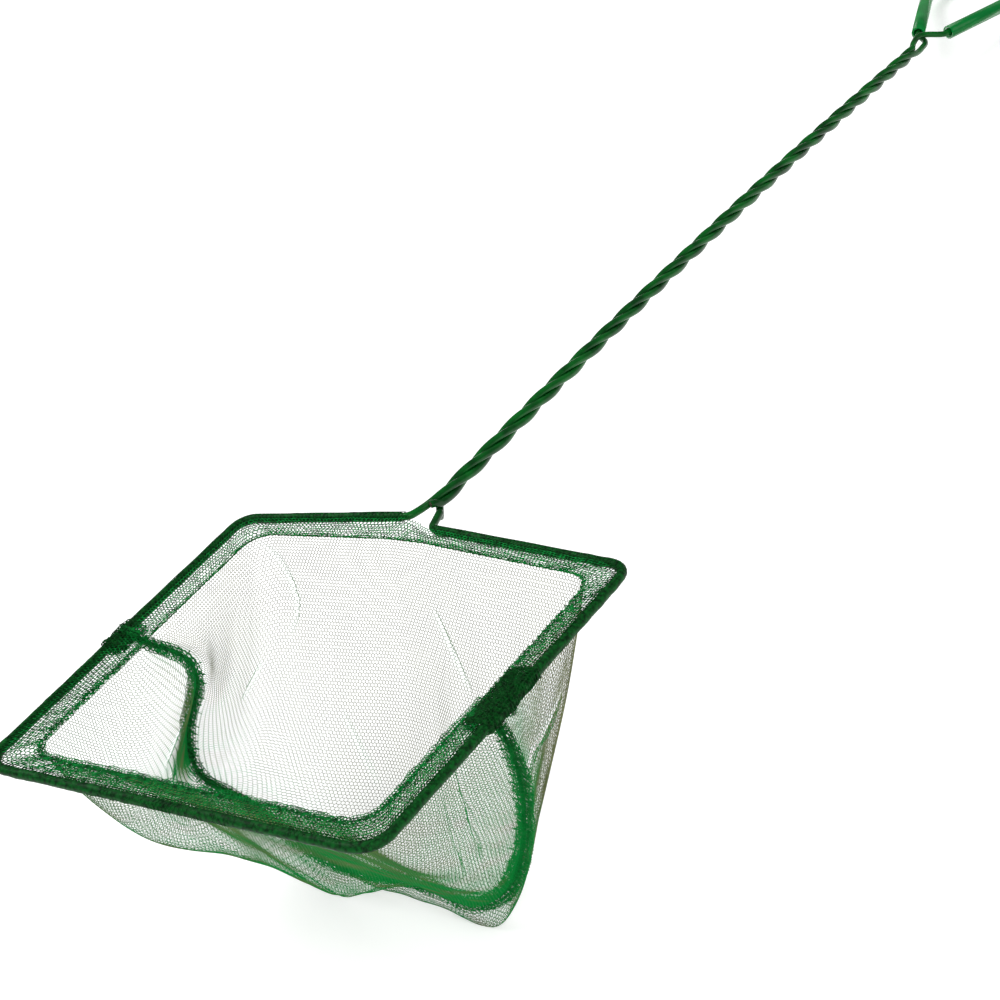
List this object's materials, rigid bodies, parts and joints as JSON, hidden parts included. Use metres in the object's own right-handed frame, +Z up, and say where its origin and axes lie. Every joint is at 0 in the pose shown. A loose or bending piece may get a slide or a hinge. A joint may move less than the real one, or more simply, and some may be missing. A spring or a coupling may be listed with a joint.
{
  "type": "aquarium fish net",
  "caption": "Hand-held aquarium net: coated wire hoop with a sewn mesh bag, a twisted wire handle and a hanging loop in a soft sleeve.",
  "frame": {"origin": "middle of the bottom of the part's box, on the flat surface that the bag's bottom and the loop's end lie on", "axes": "+X across the hoop, +Y from the bag along the handle towards the hanging loop, +Z up; the hoop's plane dips about 7 degrees towards the loop, and the handle droops a little more"},
  "size_m": [0.1552, 0.6478, 0.1017],
  "materials": {
    "wire_coating": "smooth dark green vinyl coating",
    "wire_core": "bare cut wire end",
    "sleeve_vinyl": "clear green soft vinyl tube",
    "net_mesh": "knitted nylon mesh, pale green",
    "seam_tape": "dense sewn edge, bright green",
    "hem_cloth": "dark green doubled cloth",
    "stitch_thread": "green sewing thread"
  },
  "bodies": {
    "net": {"hoop_coating": "wire_coating", "hoop_core": "wire_core", "left_strand_coating": "wire_coating", "left_strand_core": "wire_core", "right_strand_coating": "wire_coating", "right_strand_core": "wire_core", "tail_strand_coating": "wire_coating", "tail_strand_core": "wire_core", "loop_coating": "wire_coating", "loop_core": "wire_core", "front_panel": "net_mesh", "back_panel": "net_mesh", "bag_seam": "seam_tape", "front_hem": "hem_cloth", "back_hem": "hem_cloth", "front_hem_stitching": "stitch_thread", "back_hem_stitching": "stitch_thread", "left_seam_tack": "seam_tape", "right_seam_tack": "seam_tape"},
    "sleeve": {"grip_sleeve": "sleeve_vinyl"}
  },
  "joints": [
    {"name": "sleeve_play", "type": "slide", "parent": "net", "child": "sleeve", "axis": [-0.014, 0.9817, -0.1898], "range_m": [-0.0005, 0.0005]}
  ]
}
